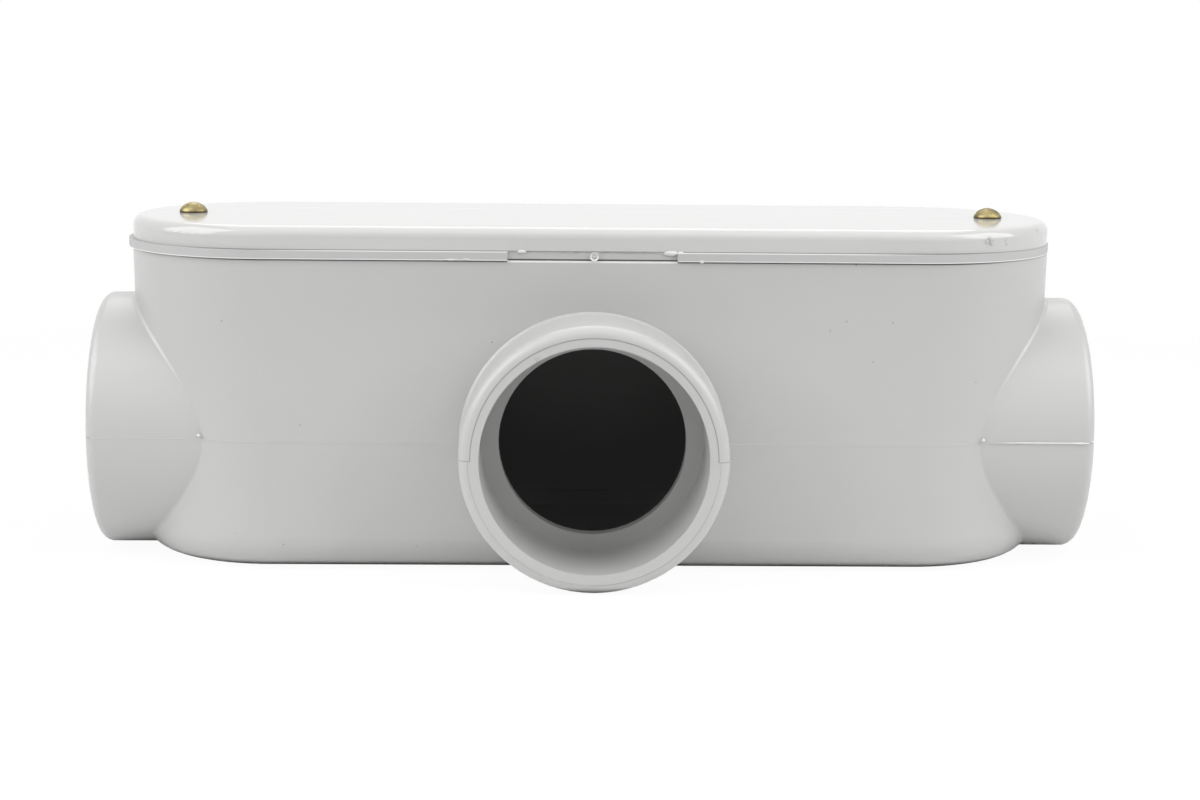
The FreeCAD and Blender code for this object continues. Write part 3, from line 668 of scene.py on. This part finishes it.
# ---------------------------------------------------------------------------
# Operators
# ---------------------------------------------------------------------------

class CONDUIT_OT_housing(bpy.types.Operator):
    """Gives the housing its satin moulded PVC"""
    bl_idname = "conduit.housing"
    bl_label = "Housing finish"

    def execute(self, context):
        coat("housing", moulded_pvc(context.scene.conduit_finishes, context.scene.conduit_marks))
        return {"FINISHED"}


class CONDUIT_OT_cover(bpy.types.Operator):
    """Gives the cover its polished PVC"""
    bl_idname = "conduit.cover"
    bl_label = "Cover finish"

    def execute(self, context):
        coat("cover", polished_pvc(context.scene.conduit_finishes))
        return {"FINISHED"}


class CONDUIT_OT_gasket(bpy.types.Operator):
    """Gives the gasket its soft PVC and adds the flash and lumps that its mould left"""
    bl_idname = "conduit.gasket"
    bl_label = "Gasket finish and flash"

    def execute(self, context):
        finishes = context.scene.conduit_finishes
        coat("gasket", soft_pvc(finishes))
        front = gasket_low.y
        lumps = uneven_lumps([
            (-19.4, front / MM + 0.75, 88.4, 1.2, 0.45, 0.45, 3),
            (20.6, front / MM + 0.7, 88.2, 2.1, 0.5, 0.65, 5),
            (23.2, front / MM + 0.6, 88.3, 0.8, 0.5, 0.45, 7),
            (28.9, front / MM + 0.2, 86.1, 0.7, 0.35, 0.5, 11),
            (-38.5, front / MM + 0.12, 86.2, 2.2, 0.3, 0.25, 13),
            (-34.4, front / MM + 0.1, 86.3, 1.0, 0.3, 0.3, 17),
        ], segments=20, rings=12)
        flash = joined([*lumps, self.make_nub(front), self.make_thread(front)])
        hand_over(flash, "gasket_flash", "cover", soft_flash(finishes))
        return {"FINISHED"}

    def make_nub(self, front):
        """The nub left where the mould was filled: a ring round a shallow hollow."""
        length, ring_width, hollow_depth = 1.1 * MM, 0.45 * MM, 0.45 * MM
        work_on(None)
        bpy.ops.mesh.primitive_cylinder_add(
            vertices=32, radius=1.2 * MM, depth=length, rotation=(math.pi / 2, 0, 0),
            location=(0, front + 0.6 * MM, (gasket_low.z + gasket_high.z) / 2))
        nub = bpy.context.object
        bpy.ops.object.transform_apply(location=True, rotation=True, scale=True)
        select_faces(nub, lambda centre, normal: normal.y < -0.9)
        bpy.ops.mesh.inset(thickness=ring_width)
        bpy.ops.transform.translate(value=(0, hollow_depth, 0))
        bpy.ops.object.mode_set(mode="OBJECT")
        apply_modifier(nub, "BEVEL", width=0.14 * MM, segments=3, limit_method="ANGLE",
                       angle_limit=math.radians(40))
        return nub

    def make_thread(self, front):
        """A ragged thread of flash along the top edge of the set-back stretch."""
        length, middle = 41 * MM, -0.5 * MM
        cuts, spacing = 27, 1.464 * MM
        work_on(None)
        bpy.ops.mesh.primitive_cylinder_add(
            vertices=8, radius=0.14 * MM, depth=length, rotation=(0, math.pi / 2, 0),
            location=(middle, front + 0.98 * MM, gasket_high.z - 0.12 * MM))
        thread = bpy.context.object
        bpy.ops.object.transform_apply(location=True, rotation=True, scale=True)
        bpy.ops.object.mode_set(mode="EDIT")
        for cut in range(1, cuts + 1):
            bpy.ops.mesh.select_all(action="SELECT")
            bpy.ops.mesh.bisect(
                plane_co=(middle - length / 2 + cut * spacing, 0, 0), plane_no=(1, 0, 0))
        bpy.ops.mesh.select_all(action="SELECT")
        bpy.ops.transform.vertex_random(offset=0.09 * MM, uniform=0.7, normal=0.3, seed=19)
        bpy.ops.object.mode_set(mode="OBJECT")
        return thread


class CONDUIT_OT_parting_line(bpy.types.Operator):
    """Raises the ridge of flash where the mould halves met, round the box and along the hubs"""
    bl_idname = "conduit.parting_line"
    bl_label = "Parting line"

    def execute(self, context):
        marks = context.scene.conduit_marks
        finishes = context.scene.conduit_finishes
        ridge = bpy.data.objects.new("parting_line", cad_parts["housing"].data.copy())
        context.scene.collection.objects.link(ridge)
        work_on(ridge)
        if ridge.data.has_custom_normals:
            bpy.ops.mesh.customdata_custom_splitnormals_clear()
        bpy.ops.object.mode_set(mode="EDIT")
        bpy.ops.mesh.select_all(action="SELECT")
        bpy.ops.mesh.remove_doubles(threshold=0.001 * MM)
        # keep a thin slice of the housing's skin at the height of the hub axes
        for side in (1, -1):
            bpy.ops.mesh.select_all(action="SELECT")
            bpy.ops.mesh.bisect(
                plane_co=(0, 0, HUB_AXIS + side * marks.flash_width / 2), plane_no=(0, 0, side),
                clear_outer=True)
        # and of the slice only what is on the outside
        select_faces(ridge, lambda centre, normal: not self.is_outside(centre, normal))
        bpy.ops.mesh.delete(type="FACE")
        bpy.ops.object.mode_set(mode="OBJECT")
        if not ridge.data.polygons:
            raise RuntimeError("the parting line has no faces left")
        apply_modifier(ridge, "SOLIDIFY", thickness=marks.flash_height, offset=1.0)
        material = flash_pvc("moulded_pvc_ridge", finishes.cover_light, finishes.housing_light)
        hand_over(ridge, "parting_line", "housing", material)
        return {"FINISHED"}

    def is_outside(self, centre, normal):
        """Whether a face of the slice lies on the outside of the box or of a hub."""
        out = math.hypot(max(abs(centre.x) - SPINE_HALF_LENGTH, 0), centre.y)
        hub_skin = HUB_RADIUS - 0.2 * MM
        on_end_hub = abs(centre.x) > END_SEAM and abs(centre.y) > hub_skin
        on_side_hub = centre.y < -SIDE_SEAM and abs(centre.x) > hub_skin
        on_box = abs(centre.x) < END_SEAM and out > OUTER_WALL and centre.y > -SIDE_SEAM
        return (on_end_hub or on_side_hub or on_box) and abs(normal.z) < 0.5


class CONDUIT_OT_nibs(bpy.types.Operator):
    """Adds the nibs of flash where the parting line ends at the hubs' seams and at a rim"""
    bl_idname = "conduit.nibs"
    bl_label = "Flash nibs"

    def execute(self, context):
        finishes = context.scene.conduit_finishes
        nibs = uneven_lumps([
            (-107.4, -36.3, 37.0, 0.55, 0.55, 0.5, 2),
            (107.4, -36.3, 36.9, 0.55, 0.55, 0.5, 4),
            (137.9, -34.6, 36.2, 0.75, 0.6, 0.45, 6),
            (122.6, -35.9, 36.1, 14.2, 0.28, 0.24, 8),
            (134.0, -35.9, 36.1, 3.0, 0.36, 0.32, 9),
            (15.8, -66.05, 62.8, 0.9, 0.4, 0.6, 10),
            (17.6, -66.05, 62.0, 0.6, 0.35, 0.5, 12),
        ], segments=16, rings=10)
        material = flash_pvc("moulded_pvc_flash", finishes.rubbed, finishes.cover_light)
        hand_over(joined(nibs), "flash_nibs", "housing", material)
        return {"FINISHED"}


class CONDUIT_OT_screws(bpy.types.Operator):
    """Models both brass screws: domed and slotted head, shank and thread"""
    bl_idname = "conduit.screws"
    bl_label = "Brass screws"

    def execute(self, context):
        sizes = context.scene.conduit_screws
        left_low, left_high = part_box("screw_left")
        material = turned_brass(context.scene.conduit_finishes, -(left_low.x + left_high.x) / 2)
        # both are copies of one blank and one thread, and differ in the direction of the slot
        blank = self.make_blank(sizes, left_low.z)
        thread = self.make_thread(sizes, left_low.z)
        slot_angles = {"screw_left": sizes.slot_angle_left, "screw_right": sizes.slot_angle_right}
        for node, angle in slot_angles.items():
            low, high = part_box(node)
            axis = Vector(((low.x + high.x) / 2, 0, 0))
            screw = copied(blank, axis)
            self.cut_slot(screw, sizes, (axis.x, 0, high.z), angle)
            joined([screw, copied(thread, axis)])
            hand_over(screw, f"{node}_turned", node, material)
            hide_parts(node)
        bpy.data.objects.remove(blank)
        bpy.data.objects.remove(thread)
        return {"FINISHED"}

    def make_blank(self, sizes, tip):
        """A screw before it is slotted and threaded, on the Z axis."""
        seat = cover_high.z
        head_radius = sizes.head_diameter / 2
        rise = sizes.head_height - sizes.head_edge
        taper_length, tip_share = 0.7 * MM, 0.7

        # head: a disc whose top is inset and lifted ring by ring along the dome's arc
        work_on(None)
        bpy.ops.mesh.primitive_cylinder_add(
            vertices=64, radius=head_radius, depth=sizes.head_edge,
            location=(0, 0, seat + sizes.head_edge / 2))
        blank = bpy.context.object
        dome_radius = (head_radius ** 2 + rise ** 2) / (2 * rise)
        spread = math.asin(head_radius / dome_radius)
        select_faces(blank, lambda centre, normal: normal.z > 0.9)
        for ring in range(1, sizes.dome_rings):
            before = spread * (1 - (ring - 1) / sizes.dome_rings)
            after = spread * (1 - ring / sizes.dome_rings)
            bpy.ops.mesh.inset(thickness=dome_radius * (math.sin(before) - math.sin(after)))
            bpy.ops.transform.translate(value=(0, 0, dome_radius * (math.cos(after) - math.cos(before))))

        # shank: the underside is inset to the thread's root and drawn down to a tapered tip
        select_faces(blank, lambda centre, normal: normal.z < -0.9)
        bpy.ops.mesh.inset(thickness=head_radius - sizes.core_diameter / 2)
        for down, share in ((seat - tip - taper_length, 1.0), (taper_length, tip_share)):
            bpy.ops.mesh.extrude_region_move(TRANSFORM_OT_translate={"value": (0, 0, -down)})
            bpy.ops.transform.resize(value=(share, share, 1))
        bpy.ops.object.mode_set(mode="OBJECT")
        return blank

    def cut_slot(self, screw, sizes, crown, angle):
        """Cuts the driver slot into the crown and breaks the sharp edges of the head."""
        work_on(None)
        bpy.ops.mesh.primitive_cube_add(size=1, location=crown, rotation=(0, 0, angle))
        cutter = bpy.context.object
        cutter.scale = (1.5 * sizes.head_diameter, sizes.slot_width, 2 * sizes.slot_depth)
        bpy.ops.object.transform_apply(location=False, rotation=False, scale=True)
        apply_modifier(screw, "BOOLEAN", operation="DIFFERENCE", object=cutter, solver="EXACT")
        bpy.data.objects.remove(cutter)
        apply_modifier(screw, "BEVEL", width=0.07 * MM, segments=2, limit_method="ANGLE",
                       angle_limit=math.radians(42), miter_outer="MITER_ARC")

    def make_thread(self, sizes, tip):
        """A small triangle at the thread's root, wound up round the Z axis and closed at both ends."""
        height = 0.6 * sizes.thread_pitch
        triangle_radius = height / 1.5
        start = (0, 0, tip + 0.75 * MM)
        work_on(None)
        bpy.ops.mesh.primitive_circle_add(
            vertices=3, radius=triangle_radius, fill_type="NOTHING", location=start, enter_editmode=True)
        for turned_about in ("X", "Y"):
            bpy.ops.transform.rotate(value=math.pi / 2, orient_axis=turned_about, center_override=start)
        bpy.ops.transform.translate(value=(sizes.thread_diameter / 2 - triangle_radius, 0, 0))
        bpy.ops.object.mode_set(mode="OBJECT")
        coil = bpy.context.object
        apply_modifier(coil, "SCREW", axis="Z", angle=math.tau, screw_offset=sizes.thread_pitch,
                       iterations=sizes.thread_turns, steps=24, render_steps=24)
        bpy.ops.object.mode_set(mode="EDIT")
        bpy.ops.mesh.select_mode(type="EDGE")
        bpy.ops.mesh.select_all(action="DESELECT")
        bpy.ops.mesh.select_non_manifold()
        bpy.ops.mesh.edge_face_add()
        bpy.ops.mesh.select_all(action="SELECT")
        bpy.ops.mesh.normals_make_consistent(inside=False)
        bpy.ops.object.mode_set(mode="OBJECT")
        return coil


class CONDUIT_OT_studio(bpy.types.Operator):
    """Sets up the paper floor, the lamps, the room light and the camera"""
    bl_idname = "conduit.studio"
    bl_label = "Studio"

    def execute(self, context):
        settings = context.scene.conduit_studio
        self.lay_paper(studio_paper(context.scene.conduit_finishes))
        self.hang_lamps(settings)
        self.light_room(context.scene, settings)
        self.set_camera(context.scene, settings)
        return {"FINISHED"}

    def lay_paper(self, material):
        """A sheet of paper on the bench, which turns up behind the object in a wide curve."""
        width, rise, curve_radius = 8, 4, 1.5
        back = 0.49 * width
        work_on(None)
        bpy.ops.mesh.primitive_plane_add(size=width, location=(0, 0, 0))
        paper = bpy.context.object
        select_edges(paper, lambda end: end.y > back)
        bpy.ops.mesh.extrude_region_move(TRANSFORM_OT_translate={"value": (0, 0, rise)})
        select_edges(paper, lambda end: end.y > back and end.z < rise / 2)
        bpy.ops.mesh.bevel(offset=curve_radius, segments=16, affect="EDGES")
        bpy.ops.mesh.select_all(action="SELECT")
        bpy.ops.mesh.normals_make_consistent(inside=False)
        bpy.ops.object.mode_set(mode="OBJECT")
        bpy.ops.object.shade_smooth()
        paper.name = "paper_floor"
        paper.data.materials.append(material)

    def hang_lamps(self, settings):
        """Square soft boxes, all turned to the object, each with its place, width and power."""
        aim = Vector((0, -0.01, 0.05))
        for name, place, width, power in (
                ("key_lamp", (0, -0.3, 1.3), 1.2, settings.key_power),
                ("back_lamp", (0, 0.8, 1.1), 1.0, settings.back_power),
                ("left_lamp", (-0.75, -1.0, 1.0), 1.4, settings.side_power),
                ("right_lamp", (0.75, -1.0, 1.0), 1.4, settings.side_power),
                ("left_end_lamp", (-1.15, -0.4, 0.85), 1.1, settings.end_power),
                ("right_end_lamp", (1.15, -0.4, 0.85), 1.1, settings.end_power)):
            bpy.ops.object.light_add(type="AREA", location=place)
            lamp = bpy.context.object
            lamp.name = name
            lamp.data.size = width
            lamp.data.energy = power
            lamp.rotation_euler = (Vector(place) - aim).to_track_quat("Z", "Y").to_euler()

    def light_room(self, scene, settings):
        """A dim room, which is white where it is seen straight or in a reflection."""
        world = bpy.data.worlds.new("studio_room")
        world.use_nodes = True
        scene.world = world
        tree = world.node_tree
        tree.nodes.clear()
        strength = add_node(tree, "ShaderNodeMapRange", {
            "Value": bleached_rays(tree), "To Min": settings.sky_strength, "To Max": 1.0})
        sky = add_node(tree, "ShaderNodeBackground", {"Color": (1, 1, 1, 1), "Strength": strength})
        add_node(tree, "ShaderNodeOutputWorld", {"Surface": sky})

    def set_camera(self, scene, settings):
        """The camera stands in front, a little above the object, and looks slightly down."""
        bpy.ops.object.camera_add(
            location=(-12.55 * MM, -680.87 * MM, 154.79 * MM),
            rotation=[math.radians(angle) for angle in (80.5494, -0.5491, -1.1993)])
        camera = bpy.context.object
        camera.name = "camera"
        camera.data.lens = settings.lens
        camera.data.sensor_width = 36
        scene.camera = camera
        scene.view_settings.view_transform = "Standard"


class CONDUIT_PT_looks(bpy.types.Panel):
    """Lists the steps that dress the conduit body"""
    bl_idname = "CONDUIT_PT_looks"
    bl_label = "Conduit Body"
    bl_space_type = "VIEW_3D"
    bl_region_type = "UI"
    bl_category = "Conduit Body"

    def draw(self, context):
        for step in STEPS:
            self.layout.operator(step.bl_idname)
        for name in SETTINGS:
            group = getattr(context.scene, name)
            box = self.layout.box()
            for field in group.__annotations__:
                box.prop(group, field)


STEPS = (CONDUIT_OT_housing, CONDUIT_OT_cover, CONDUIT_OT_gasket, CONDUIT_OT_parting_line,
         CONDUIT_OT_nibs, CONDUIT_OT_screws, CONDUIT_OT_studio)
SETTINGS = {
    "conduit_marks": MouldMarkSizes,
    "conduit_screws": ScrewSizes,
    "conduit_finishes": Finishes,
    "conduit_studio": StudioSettings,
}


def register():
    for group in SETTINGS.values():
        bpy.utils.register_class(group)
    for name, group in SETTINGS.items():
        setattr(bpy.types.Scene, name, PointerProperty(type=group))
    for step in STEPS:
        bpy.utils.register_class(step)
    bpy.utils.register_class(CONDUIT_PT_looks)


def unregister():
    bpy.utils.unregister_class(CONDUIT_PT_looks)
    for step in reversed(STEPS):
        bpy.utils.unregister_class(step)
    for name, group in SETTINGS.items():
        delattr(bpy.types.Scene, name)
        bpy.utils.unregister_class(group)


def main():
    register()
    bpy.ops.conduit.housing()
    bpy.ops.conduit.cover()
    bpy.ops.conduit.gasket()
    bpy.ops.conduit.parting_line()
    bpy.ops.conduit.nibs()
    bpy.ops.conduit.screws()
    bpy.ops.conduit.studio()


if __name__ == "__main__":
    main()
